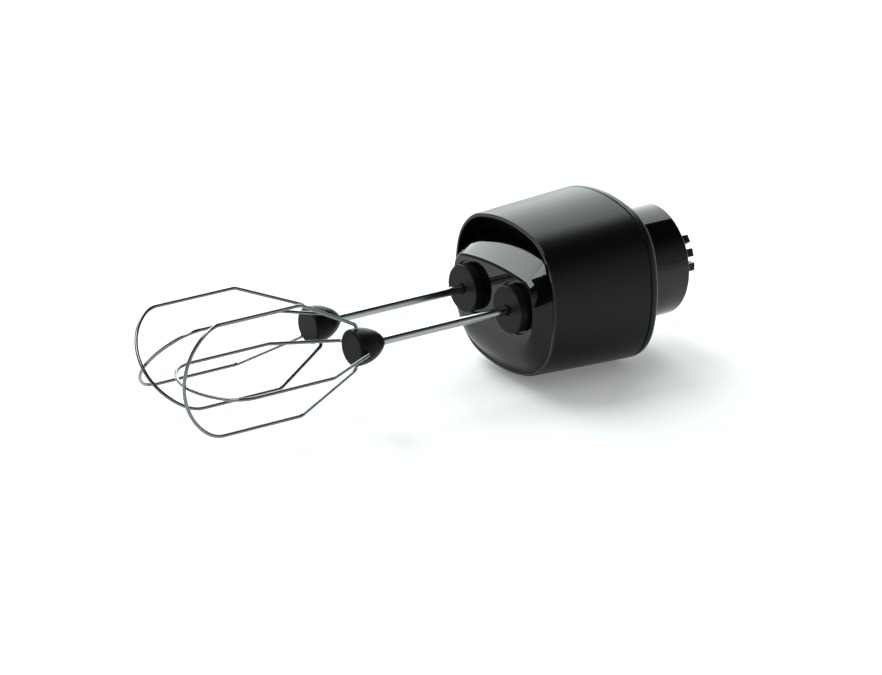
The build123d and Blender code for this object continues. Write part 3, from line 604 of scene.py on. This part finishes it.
@dataclass
class FrontCap:
    """The cap: an oval nose, a scoop above it and a chin that runs down to the rim without an edge."""

    housing: Housing
    nose: Squircle = Squircle(30.0, 15.5, 7.5, 0.84)
    root: Squircle = Squircle(33.6, 26.8, 15.0, 0.82)
    nose_front: float = 91.6
    rim_station: float = 84.4
    rim_inset: float = 1.75
    rim_run: float = 2.0
    skirt_wall: float = 2.0
    skirt_rear: float = 72.4
    back: float = 75.0
    scoop_depth: float = 14.6
    ramp_share: float = 0.54
    lip_share: float = 0.951
    edge_share: float = 0.03
    nose_edge: float = 0.45
    side_edge: float = 0.7
    cove_round: float = 3.0
    wall_round: float = 2.0
    # Where the sine of the bearing takes the side over into the scoop, and into the chin.
    scoop_ends: tuple[float, float] = (0.2, 0.46)
    chin_ends: tuple[float, float] = (-0.45, -0.85)
    # Where the pocket is matt and painted dark as shade: from these shares of the ramp, the depth and the
    # whole way, and past these cosines of the bearing. The ramp's first edge and columns hardly scooped are
    # left out.
    shade_ramp: float = 0.8
    shade_depth: float = 0.86
    shade_wall: float = 0.9
    shade_ends: tuple[float, float] = (0.66, 0.80)
    gloss_edge: float = 0.08
    least_scooped: float = 0.04
    share_slack: float = 0.001
    half_spacing: float = 17.0
    recess_radius: float = 11.9
    recess_floor: float = 90.4
    recess_edge: float = 0.35
    bush_radius: float = 9.01
    columns: int = 336
    wall_rows: int = 44
    face_rows: int = 5
    seam_points: int = 42

    def bearings(self) -> Array:
        """Even bearings that start straight down, so that the middle line is met."""
        return -np.pi / 2 + 2 * np.pi * np.arange(self.columns) / self.columns

    def under_bearings(self, outline: Squircle, inset: float = 0.0) -> Array:
        """The points of an outline under the bearings, drawn in by an inset."""
        return outline.outline(outline.facing(self.bearings()), inset)

    def profiles(self) -> tuple[Array, Array, Array]:
        """Draws the three ways from the nose's edge to the rim, as (share of the way, depth) rows that match.

        Returns:
            The scoop: a ramp, a cove and a wall up to the lip. The side: an edge and a straight slope. The
            chin: depth = flush t^3, which leaves the nose's face without an edge.
        """
        reach = self.housing.outline.half_height - self.rim_inset - self.nose.half_height
        drop = self.nose_front - self.rim_station
        flush = self.nose_front - self.housing.front
        start, lip = -self.edge_share * reach, self.lip_share * reach
        scoop = rounded([(start, 0.0), (0.0, 0.0, self.nose_edge),
                         (self.ramp_share * reach, self.scoop_depth, self.cove_round),
                         (lip, self.scoop_depth, self.wall_round), (lip, drop)], steps=10)
        side = rounded([(start, 0.0), (0.0, 0.0, self.side_edge), (lip, drop)], steps=10)
        t = np.linspace(0.0, 1.0, self.wall_rows)
        chin = np.stack((start + t * (lip - start), flush * t ** 3), axis=-1)

        def closed(rows: Array, depth: float) -> Array:
            """Runs rows on over the rim's edge and scales the way to 1."""
            end = rounded([(lip, depth), (reach, depth, CRISP), (reach, drop + self.rim_run)])
            return np.concatenate((rows, end[1:])) * (1 / reach, 1.0)

        return (closed(respaced(scoop, self.wall_rows), drop), closed(respaced(side, self.wall_rows), drop),
                closed(chin, flush))

    def front(self) -> tuple[Array, Array]:
        """Lays the profiles between the nose's outline N and the rim R, at nose_front - depth.

        The side and the chin run straight: N + share (R - N). The scoop bends at the root outline Q where its
        ramp ends: N + share / ramp (Q - N) up to there, then Q + (share - ramp) / (1 - ramp) (R - Q).

        Returns:
            The grid, shape (rows, columns, 3), and the zone of each of its quads.
        """
        scoop, side, chin = (rows[:, None, :] for rows in self.profiles())
        height = np.sin(self.bearings())[None, :, None]
        scooped = smooth(*self.scoop_ends, height)
        low = smooth(*self.chin_ends, height)
        plain = low * chin + (1 - low) * side
        nose, root = self.under_bearings(self.nose), self.under_bearings(self.root)
        rim = self.under_bearings(self.housing.outline, self.rim_inset)
        share, ramp = scoop[..., :1], self.ramp_share
        bent = (nose + np.minimum(share / ramp, 1.0) * (root - nose)
                + np.maximum((share - ramp) / (1 - ramp), 0.0) * (rim - root))
        flat = scooped * bent + (1 - scooped) * (nose + plain[..., :1] * (rim - nose))
        depth = scooped * scoop[..., 1:] + (1 - scooped) * plain[..., 1:]
        return at_station(flat, self.nose_front - depth[..., 0]), self.zones(scooped[..., 0], scoop)

    def zones(self, scooped: Array, scoop: Array) -> Array:
        """Picks the zone of each quad: the matt pocket, painted dark as shade, takes in the ramp's foot, the
        wall and both ends.

        The ends lie where |cos bearing| is above a limit that rises along the ramp, from one of shade_ends to
        the other.

        Args:
            scooped: How far each column is scooped, shape (1, columns).
            scoop: The scoop's rows of (share of the way, depth), shape (rows, 1, 2).

        Returns:
            A zone for each quad, shape (rows - 1, columns).
        """
        share, depth = scoop[:-1, :, 0], scoop[:-1, :, 1]
        foot = (share > self.shade_ramp * self.ramp_share) & (depth > self.shade_depth * self.scoop_depth)
        first, last = self.shade_ends
        limit = first + (last - first) * share / self.ramp_share
        ends = (np.abs(np.cos(self.bearings())) > limit) & (share > self.gloss_edge)
        inside = (scooped > self.least_scooped) & (share < self.lip_share + self.share_slack)
        pocket = inside & (foot | (share > self.shade_wall) | ends)
        return np.where(pocket, CapZone.POCKET, np.where(scooped < 0.5, CapZone.FACE, CapZone.GLOSS))

    def half(self, edge: Array, back: Array, sign: int) -> Array:
        """Draws half of the nose's face round one collar recess, through the bore and out to the back's edge.

        The face's lines run from the half's outline to the recess: outline + s (ring - outline).

        Args:
            edge: The face's outline under the bearings.
            back: The back's outline under the bearings.
            sign: Which half.

        Returns:
            A grid that wraps round the spindle.
        """
        middle = self.columns // 2

        def loop(points: Array) -> Array:
            """Takes this half of an outline and closes it along the middle line."""
            part = points[:middle + 1] if sign > 0 else np.concatenate((points[middle:], points[:1]))
            return np.concatenate((part, np.linspace(part[-1], part[0], self.seam_points)[1:-1]))

        centre = np.array([sign * self.half_spacing, 0.0])
        outer = loop(edge)
        way = (outer - centre) / np.linalg.norm(outer - centre, axis=1, keepdims=True)
        bore = rounded([(self.nose_front, self.recess_radius + EDGE_LAND),
                        (self.nose_front, self.recess_radius, self.recess_edge),
                        (self.recess_floor, self.recess_radius, PLAIN),
                        (self.recess_floor, self.bush_radius, FINE),
                        (self.back, self.bush_radius)])
        rings = at_station(centre + bore[:, 1:, None] * way, bore[:, :1])
        face = at_station(outer, self.nose_front)
        share = np.linspace(0.0, 1.0, self.face_rows, endpoint=False)[:, None, None]
        end = at_station(loop(back), self.back)[None]
        return np.concatenate((face + share * (rings[0] - face), rings, end))

    def build(self) -> None:
        """Builds the cap and ties it to the housing."""
        grid, zones = self.front()
        outer, inner = (self.under_bearings(self.housing.outline, self.rim_inset + wall)
                        for wall in (0.0, self.skirt_wall))
        skirt = np.stack((grid[-1], at_station(outer, self.skirt_rear), at_station(inner, self.skirt_rear),
                          at_station(inner, self.back)))
        shell = Shell("front_cap_shell", crease_deg=50.0)
        shell.patch(grid, slot=zones)
        shell.patch(skirt)
        for sign in (1, -1):
            shell.patch(self.half(grid[0, :, 1:], inner, sign))
        piece = shell.build()
        even_normals(piece)
        # The cap's second finish is the pocket's painted shade.
        place(piece, "housing", [GLOSS_ABS, POCKET_SHADE_ABS, FACE_ABS], "front_cap")


@dataclass
class Neck:
    """The round neck that plugs into the handle, and the crown inside it with its groups of teeth."""

    radius: float = 26.0
    bore: float = 23.5
    length: float = 28.2
    rim_round: float = 0.8
    mouth_round: float = 0.6
    groove_width: float = 0.8
    groove_depth: float = 0.5
    cover_front: float = 32.4
    flange_front: float = 34.4
    flange_radius: float = 32.8
    web_rear: float = 10.0
    web_front: float = 13.0
    web_cove: float = 0.8
    bore_cove: float = 1.0
    boss_front: float = 20.9
    boss_radius: float = 8.05
    boss_bore: float = 5.06
    columns: int = 192
    crown_radius: float = 21.3
    crown_bore: float = 17.8
    crown_rear: float = -6.4
    crown_round: float = 0.35
    round_segments: int = 3
    groups: int = 2
    group_teeth: int = 3
    tooth_pitch_deg: float = 18.0
    tooth_angle_deg: float = 142.0
    tooth_height: float = 5.0
    tooth_width: float = 3.6
    tooth_points: int = 5
    gap_points: int = 40

    def tube(self) -> bpy.types.Object:
        """Makes the neck: its closed wall profile with web and boss, turned about the axis.

        Returns:
            The neck.
        """
        groove, low = self.length - self.groove_width, self.radius - self.groove_depth
        profile = rounded([
            (0.0, self.radius, self.rim_round), (groove, self.radius, CRISP), (groove, low),
            (self.length, low), (self.length, self.radius), (self.cover_front, self.radius),
            (self.cover_front, self.flange_radius, PLAIN),
            (self.flange_front, self.flange_radius, PLAIN), (self.flange_front, self.bore),
            (self.web_front, self.bore, self.bore_cove), (self.web_front, self.boss_radius, self.web_cove),
            (self.boss_front, self.boss_radius, PLAIN), (self.boss_front, self.boss_bore),
            (self.web_rear, self.boss_bore, PLAIN), (self.web_rear, self.bore, self.web_cove),
            (0.0, self.bore, self.mouth_round)])
        return Shell("neck_shell").patch(revolved(profile, 0.0, self.columns), wrap_rows=True).build()

    def crown(self) -> bpy.types.Object:
        """Makes the crown: a ring whose rear edge steps up at each tooth.

        A tooth has parallel sides, so at radius r it spans the angle 2 asin(width / 2r) about its middle. The
        gaps run evenly from one tooth's side to the next.

        Returns:
            The crown with softened edges.
        """
        k = np.arange(self.groups * self.group_teeth)
        middle = np.radians(self.tooth_angle_deg + 360 / self.groups * (k // self.group_teeth)
                            + self.tooth_pitch_deg * (k % self.group_teeth))[:, None]
        following = np.append(middle[1:], middle[:1] + 2 * np.pi, axis=0)
        radius = np.repeat((self.crown_bore, self.crown_radius), 2)[:, None, None]
        half = np.arcsin(self.tooth_width / (2 * radius))
        across = np.linspace(-1.0, 1.0, self.tooth_points)
        share = np.linspace(0.0, 1.0, self.gap_points)
        gap = (1 - share) * (middle + half) + share * (following - half)
        angle = np.concatenate((middle + across * half, gap), axis=2)
        is_tooth = np.arange(angle.shape[2]) < self.tooth_points
        rear = np.where(is_tooth, self.crown_rear, self.crown_rear + self.tooth_height)
        at_rear = np.array([False, True, True, False])[:, None, None]
        grid = about_axis(np.where(at_rear, rear, self.web_rear), radius, angle)
        shell = Shell("locking_crown_shell", crease_deg=30.0)
        shell.patch(grid.reshape(len(radius), -1, 3), wrap_rows=True)
        piece = shell.build()
        soft = piece.modifiers.new("soft_edges", "BEVEL")
        soft.width, soft.segments, soft.limit_method = self.crown_round * MM, self.round_segments, "ANGLE"
        return piece

    def build(self) -> None:
        """Builds neck and crown and ties them to the housing."""
        for piece, finish, node in ((self.tube(), GLOSS_ABS, "neck_tube"),
                                    (self.crown(), BLACK_ACETAL, "locking_crown")):
            even_normals(piece)
            place(piece, "housing", [finish], node)


class Side(Enum):
    """Which whisk: its name, where its axis lies and the angle of its outer loop."""

    FAR = ("far", 17.0, 45.0)
    NEAR = ("near", -17.0, 90.0)


@dataclass
class Whisk:
    """A whisk: collar with a hexagonal drive, steel shaft, bullet hub and two crossed wire loops."""

    side: Side
    shaft_radius: float = 2.0
    shaft_rear: float = 66.1
    shaft_front: float = 175.5
    end_chamfer: float = 0.6
    detent_rear: float = 84.3
    detent_front: float = 85.5
    detent_depth: float = 0.3
    shaft_columns: int = 48
    collar_radius: float = 10.9
    collar_rear: float = 90.7
    collar_front: float = 96.0
    collar_round: float = 0.6
    well_radius: float = 2.7
    well_depth: float = 0.6
    hex_rear: float = 85.9
    hex_across_flats: float = 8.0
    hex_chamfer: float = 0.3
    hex_land: float = 6.0
    hub_radius: float = 8.3
    hub_rear: float = 163.7
    hub_front: float = 179.3
    hub_shoulder: float = 176.1
    hub_rear_radius: float = 3.0
    hub_round: float = 1.2
    bullet_points: int = 25
    columns: int = 96
    wire_radius: float = 0.8
    wire_station: float = 176.7
    wire_root: float = 3.6
    wire_columns: int = 20
    elbow_radius: float = 10.3
    elbow_bend: float = 2.3
    shoulder_station: float = 205.3
    shoulder_bend: float = 5.0
    loop_radius: float = 25.3
    tip_station: float = 244.5
    tip_depth: float = 19.7
    tip_round: float = 14.0
    corner_points: int = 14
    nose_points: int = 30
    loop_gap: float = 0.2

    @property
    def name(self) -> str:
        """The whisk's name."""
        return self.side.value[0]

    @property
    def y(self) -> float:
        """Where the whisk's axis lies."""
        return self.side.value[1]

    def collar(self) -> bpy.types.Object:
        """Makes the collar: rows of (station, radius, share of hexagon) turned about the shaft.

        A hexagon's radius at an angle a is half its flats / cos(a mod 60 - 30 degrees).

        Returns:
            The collar with its drive, bored for the shaft.
        """
        bore, flats = self.shaft_radius + BORE_PLAY, self.hex_across_flats / 2
        well = self.collar_front - self.well_depth
        face = rounded([(well, bore), (well, self.well_radius, BROKEN),
                        (self.collar_front, self.well_radius, CRISP),
                        (self.collar_front, self.collar_radius, self.collar_round),
                        (self.collar_rear, self.collar_radius, self.collar_round),
                        (self.collar_rear, self.hex_land)], steps=8)
        drive = [(self.collar_rear, flats, 1.0), (self.hex_rear + self.hex_chamfer, flats, 1.0),
                 (self.hex_rear, flats - self.hex_chamfer, 1.0), (self.hex_rear, bore, 0.0)]
        rows = np.concatenate((np.column_stack((face, np.zeros(len(face)))), drive))
        angle = full_turn(self.columns)
        stretch = 1.0 / np.cos(angle % (np.pi / 3) - np.pi / 6)
        radius = rows[:, 1:2] * (1.0 + rows[:, 2:] * (stretch - 1.0))
        shell = Shell(f"{self.name}_collar_shell", crease_deg=32.0)
        shell.patch(about_axis(rows[:, :1], radius, angle, self.y), wrap_rows=True)
        return shell.build()

    def shaft(self) -> bpy.types.Object:
        """Makes the shaft: a turned rod with a detent groove and a chamfered end.

        Returns:
            The shaft.
        """
        r, low = self.shaft_radius, self.shaft_radius - self.detent_depth
        profile = rounded([
            (self.shaft_front, 0.0), (self.shaft_front, r, FINE), (self.detent_front, r, BROKEN),
            (self.detent_front, low, BROKEN), (self.detent_rear, low, BROKEN), (self.detent_rear, r, BROKEN),
            (self.shaft_rear + self.end_chamfer, r, PLAIN), (self.shaft_rear, r - self.end_chamfer, FINE),
            (self.shaft_rear, 0.0)])
        return Shell(f"{self.name}_shaft_rod").patch(revolved(profile, self.y, self.shaft_columns)).build()

    def hub(self) -> bpy.types.Object:
        """Makes the hub: a flat front, a straight band and a bullet back whose arc touches the band.

        The arc's radius is (run^2 + fall^2) / (2 fall) for its run back and its fall towards the shaft.

        Returns:
            The hub, bored for the shaft.
        """
        run, fall = self.hub_shoulder - self.hub_rear, self.hub_radius - self.hub_rear_radius
        arc_radius = (run ** 2 + fall ** 2) / (2 * fall)
        turn = np.linspace(0.0, np.arcsin(run / arc_radius), self.bullet_points)
        arc = np.column_stack((self.hub_shoulder - arc_radius * np.sin(turn),
                               self.hub_radius - arc_radius * (1 - np.cos(turn))))
        bore = self.shaft_radius + BORE_PLAY
        nose = rounded([(self.hub_front, 0.0), (self.hub_front, self.hub_radius, self.hub_round),
                        (self.hub_shoulder, self.hub_radius)], steps=10)
        tail = rounded([tuple(arc[-2]), (self.hub_rear, self.hub_rear_radius, PLAIN),
                        (self.hub_rear, bore, FINE), (self.shaft_front, bore),
                        (self.shaft_front, 0.0)])
        shell = Shell(f"{self.name}_hub_bullet")
        shell.patch(revolved(np.concatenate((nose[:-1], arc[:-2], tail)), self.y, self.columns))
        return shell.build()

    def loop_path(self, depth: float) -> Array:
        """Draws one loop in its plane: out of the hub, over elbow and shoulder, round the tip and back.

        The tip is an arc of tip_round at each corner and a nose arc that touches both, of radius
        (depth^2 + c^2 - r^2) / (2 (depth - r)), with c the height of the corner's centre.

        Args:
            depth: How far the tip stands ahead of the straight runs.

        Returns:
            Points (station, radius), shape (n, 2).
        """
        r, c = self.tip_round, self.loop_radius - self.tip_round
        nose_radius = (depth ** 2 + c ** 2 - r ** 2) / (2 * (depth - r))
        nose_station = self.tip_station + depth - nose_radius
        join = np.arctan2(c, self.tip_station - nose_station)
        arm = rounded([(self.wire_station, self.wire_root),
                       (self.wire_station, self.elbow_radius, self.elbow_bend),
                       (self.shoulder_station, self.loop_radius, self.shoulder_bend),
                       (self.tip_station, self.loop_radius)], steps=10)
        turn = np.linspace(np.pi / 2, join, self.corner_points)[1:]
        corner = np.column_stack((self.tip_station + r * np.cos(turn), c + r * np.sin(turn)))
        turn = np.linspace(join, 0.0, self.nose_points)[1:]
        nose = np.column_stack((nose_station + nose_radius * np.cos(turn), nose_radius * np.sin(turn)))
        half = np.concatenate((arm, corner, nose))
        return np.concatenate((half, half[-2::-1] * (1.0, -1.0)))

    def loop(self, layer: str, angle_deg: float, depth: float) -> bpy.types.Object:
        """Makes one bent wire: P + r (n cos a + b sin a), with n in the loop's plane and b across it.

        Args:
            layer: Its name, outer or inner.
            angle_deg: The angle of its plane about the whisk's axis.
            depth: How far its tip stands ahead.

        Returns:
            The wire with closed ends.
        """
        path = self.loop_path(depth)
        path = np.concatenate((path[:1], path, path[-1:]))
        run = np.gradient(path, axis=0)
        run[0], run[-1] = run[1], run[-2]
        run /= np.linalg.norm(run, axis=1, keepdims=True)
        thick = np.full((len(path), 1), self.wire_radius)
        thick[[0, -1]] = 0.0
        turn = full_turn(self.wire_columns)
        up, across = thick * np.cos(turn), thick * np.sin(turn)
        station = path[:, :1] - up * run[:, 1:]
        radius = path[:, 1:] + up * run[:, :1]
        angle = np.radians(angle_deg)
        grid = np.stack((-station, self.y + radius * np.cos(angle) + across * np.sin(angle),
                         radius * np.sin(angle) - across * np.cos(angle)), axis=-1)
        lay = np.stack(np.broadcast_arrays(running_length(path)[:, None], up, across), axis=-1)
        return Shell(f"{self.name}_wire_{layer}").patch(grid, lay=lay).build()

    def build(self) -> None:
        """Builds the whisk and ties it to its body."""
        body, outer_deg = f"{self.name}_whisk", self.side.value[2]
        for piece, finish, node in ((self.collar(), BLACK_PP, "collar"),
                                    (self.shaft(), STAINLESS_ROD, "shaft"), (self.hub(), BLACK_PP, "hub")):
            even_normals(piece)
            place(piece, body, [finish], f"{self.name}_{node}")
        inner_depth = self.tip_depth - 2 * self.wire_radius - self.loop_gap
        for layer, turn_deg, depth in (("outer", 0.0, self.tip_depth), ("inner", 90.0, inner_depth)):
            wire = self.loop(layer, outer_deg + turn_deg, depth)
            # The loops take the wire finish whose darker colour is painted shade.
            place(wire, body, [SHADED_STAINLESS_WIRE], f"{self.name}_loop_{layer}")


@dataclass
class Gearbox:
    """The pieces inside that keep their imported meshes: each gets the finish of its slot."""

    frame: dict[str, Any]
    finishes: tuple[Finish, ...] = (
        SINTERED_STEEL, NATURAL_ACETAL, FILLED_NYLON, ZINC_STEEL, SINTERED_BRONZE, NITRILE, BLACK_ACETAL,
        SATIN_ABS, GLOSS_ABS, BLACK_PP, STAINLESS_ROD)

    def dress(self) -> None:
        """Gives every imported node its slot's finish."""
        by_slot = {finish.slot.value: finish for finish in self.finishes}
        for row in self.frame["record"]["subparts"]:
            mesh = self.frame["nodes"][row["node"]].data
            mesh.materials.clear()
            mesh.materials.append(by_slot[row["material_slot"]].material())


# Studio


@dataclass(frozen=True)
class Softbox:
    """A softbox that faces the gear head.

    Its bearing runs from +X towards +Y, its height is an angle above the floor, and width and depth are
    metres. Its top leans towards larger bearings. A level of 1 is white: its power is level x pi x area.
    """

    name: str
    bearing_deg: float
    height_deg: float
    width: float
    depth: float
    level: float
    lean_deg: float

    def hang(self, aim: Triple, distance: float, colour: str) -> None:
        """Hangs the softbox at a distance from the point that it faces.

        Args:
            aim: The point, in metres.
            distance: The distance, in metres.
            colour: The light's colour.
        """
        lamp = bpy.data.lights.new(self.name, "AREA")
        lamp.shape, lamp.size, lamp.size_y = "RECTANGLE", self.width, self.depth
        lamp.energy = self.level * np.pi * self.width * self.depth
        lamp.color = linear(colour)[:3]
        made = bpy.data.objects.new(self.name, lamp)
        bearing, height = np.radians((self.bearing_deg, self.height_deg))
        way = Vector((np.cos(bearing) * np.cos(height), np.sin(bearing) * np.cos(height), np.sin(height)))
        made.matrix_world = (Matrix.Translation(Vector(aim) + distance * way)
                             @ way.to_track_quat("Z", "Y").to_matrix().to_4x4()
                             @ Matrix.Rotation(np.radians(-self.lean_deg), 4, "Z"))
        bpy.context.scene.collection.objects.link(made)


@dataclass
class Studio:
    """A white floor, soft light from behind and the camera at the photograph's angle."""

    floor_z: float = -38.4
    floor_reach: float = 6000.0
    floor_lines: int = 9
    paper_colour: str = "#f4f4f4"
    paper_lift: float = 0.17
    camera_spot: Triple = (-1.1473, -1.4430, 0.6511)
    camera_right: Triple = (0.8149, -0.5796, 0.0016)
    camera_up: Triple = (0.2023, 0.2869, 0.9364)
    focal_px: float = 4273.0
    sensor_mm: float = 36.0
    sight_m: float = 50.0
    aim: Triple = (-0.07, 0.0, 0.0)
    light_distance: float = 1.5
    light_colour: str = "#f8fffe"
    softboxes: tuple[Softbox, ...] = (Softbox("back_strip", 46.5, 33.0, 0.80, 1.80, 3.6, -27.0),
                                      Softbox("key_strip", 98.0, 43.0, 0.60, 1.70, 6.8, 28.0))
    # Each fade of the room: the heights, as sines, where it starts and ends, and what it leaves of the light.
    room_fades: tuple[Triple, Triple] = ((0.0, 0.08, 0.55), (0.09, 0.75, 0.03))
    room_fill: float = 0.45
    overhead_way: Triple = (-0.34, -0.06, 0.94)
    overhead_reach: Triple = (0.20, 0.38, 0.38)
    overhead_edge: tuple[float, float] = (0.94, 1.04)
    overhead_level: float = 8.6

    def seen(self, tree: bpy.types.NodeTree) -> bpy.types.NodeSocket:
        """Gives 1 for rays that show the background: from the camera, off gloss and through glass.

        Args:
            tree: The tree that needs it.

        Returns:
            The socket.
        """
        rays = add_node(tree, "ShaderNodeLightPath").outputs
        shows = rays["Is Camera Ray"]
        for kind in ("Is Glossy Ray", "Is Transmission Ray"):
            links = {0: shows, 1: rays[kind]}
            shows = add_node(tree, "ShaderNodeMath", {"operation": "MAXIMUM"}, links).outputs[0]
        return shows

    def floor(self) -> None:
        """Lays the floor: a flat sheet of matt white paper that keeps the shadow."""
        line = np.linspace(-self.floor_reach, self.floor_reach, self.floor_lines)
        x, y = np.meshgrid(line, line, indexing="ij")
        points = np.stack((x, y, np.full_like(x, self.floor_z)), axis=-1).reshape(-1, 3) * MM
        quads = grid_quads(np.arange(x.size).reshape(x.shape)).reshape(-1, 4)
        mesh = bpy.data.meshes.new("studio_floor")
        mesh.from_pydata(points.tolist(), [], quads.tolist())
        floor = bpy.data.objects.new("studio_floor", mesh)
        bpy.context.scene.collection.objects.link(floor)
        paper = bpy.data.materials.new("white_background_paper")
        paper.use_nodes = True
        tree = paper.node_tree
        tree.nodes.clear()
        matt = add_node(tree, "ShaderNodeBsdfDiffuse", {"Color": linear(self.paper_colour)})
        lift = add_node(tree, "ShaderNodeMath", {"operation": "MULTIPLY", 1: self.paper_lift},
                        {0: self.seen(tree)})
        glow = add_node(tree, "ShaderNodeEmission", {"Color": linear("#ffffff")},
                        {"Strength": lift.outputs[0]})
        both = add_node(tree, "ShaderNodeAddShader", links={0: matt.outputs[0], 1: glow.outputs[0]})
        add_node(tree, "ShaderNodeOutputMaterial", links={"Surface": both.outputs[0]})
        mesh.materials.append(paper)

    def world(self) -> None:
        """Sets the surroundings: a room that gloss mirrors, and an even fill that lights the rest.

        The room is white at the horizon and dims twice above it. Overhead hangs an oval reflector, which
        covers the ways w with |(w - overhead_way) / overhead_reach| below 1.
        """
        world = bpy.data.worlds.new("studio_room")
        bpy.context.scene.world = world
        world.use_nodes = True
        tree = world.node_tree
        tree.nodes.clear()
        way = add_node(tree, "ShaderNodeTexCoord").outputs["Generated"]
        height = add_node(tree, "ShaderNodeSeparateXYZ", links={0: way}).outputs["Z"]
        off = way
        for operation, by in (("SUBTRACT", self.overhead_way), ("DIVIDE", self.overhead_reach)):
            off = add_node(tree, "ShaderNodeVectorMath", {"operation": operation, 1: by}, {0: off}).outputs[0]
        apart = add_node(tree, "ShaderNodeVectorMath", {"operation": "LENGTH"}, {0: off})
        fades = [(height, low, high, 1.0, left) for low, high, left in self.room_fades]
        fades.append((apart.outputs["Value"], *self.overhead_edge, self.overhead_level, 0.0))
        edge, rise, overhead = (
            add_node(tree, "ShaderNodeMapRange",
                     {"interpolation_type": "SMOOTHSTEP", "From Min": low, "From Max": high, "To Min": start,
                      "To Max": end}, {"Value": value}).outputs["Result"]
            for value, low, high, start, end in fades)
        room = add_node(tree, "ShaderNodeMath", {"operation": "MULTIPLY"}, {0: edge, 1: rise})
        level = add_node(tree, "ShaderNodeMath", {"operation": "ADD"}, {0: room.outputs[0], 1: overhead})
        colour = linear(self.light_colour)
        shown = add_node(tree, "ShaderNodeBackground", {"Color": colour}, {"Strength": level.outputs[0]})
        fill = add_node(tree, "ShaderNodeBackground", {"Color": colour, "Strength": self.room_fill})
        both = add_node(tree, "ShaderNodeMixShader",
                        links={0: self.seen(tree), 1: fill.outputs[0], 2: shown.outputs[0]})
        add_node(tree, "ShaderNodeOutputWorld", links={"Surface": both.outputs[0]})

    def camera(self) -> None:
        """Sets the camera: its axes come from the view that the photograph was taken from."""
        right, up = Vector(self.camera_right).normalized(), Vector(self.camera_up)
        back = right.cross(up).normalized()
        up = back.cross(right)
        lens = bpy.data.cameras.new("camera")
        lens.sensor_fit, lens.sensor_width = "HORIZONTAL", self.sensor_mm
        lens.lens = self.focal_px * self.sensor_mm / IMAGE_WIDTH_PX
        lens.clip_end = self.sight_m
        made = bpy.data.objects.new("camera", lens)
        turn = Matrix((right, up, back)).transposed().to_4x4()
        made.matrix_world = Matrix.Translation(self.camera_spot) @ turn
        bpy.context.scene.collection.objects.link(made)
        bpy.context.scene.camera = made

    def build(self) -> None:
        """Builds floor, surroundings, lights and camera."""
        self.floor()
        self.world()
        for softbox in self.softboxes:
            softbox.hang(self.aim, self.light_distance, self.light_colour)
        self.camera()
        bpy.context.scene.view_settings.view_transform = "Standard"


def main() -> None:
    """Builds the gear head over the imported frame."""
    logging.basicConfig(level=logging.INFO, format="%(name)s: %(message)s")
    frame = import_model()
    Gearbox(frame).dress()
    housing = Housing()
    housing.build()
    FrontCap(housing).build()
    Neck().build()
    for side in Side:
        Whisk(side).build()
    Studio().build()


if __name__ == "__main__":
    main()
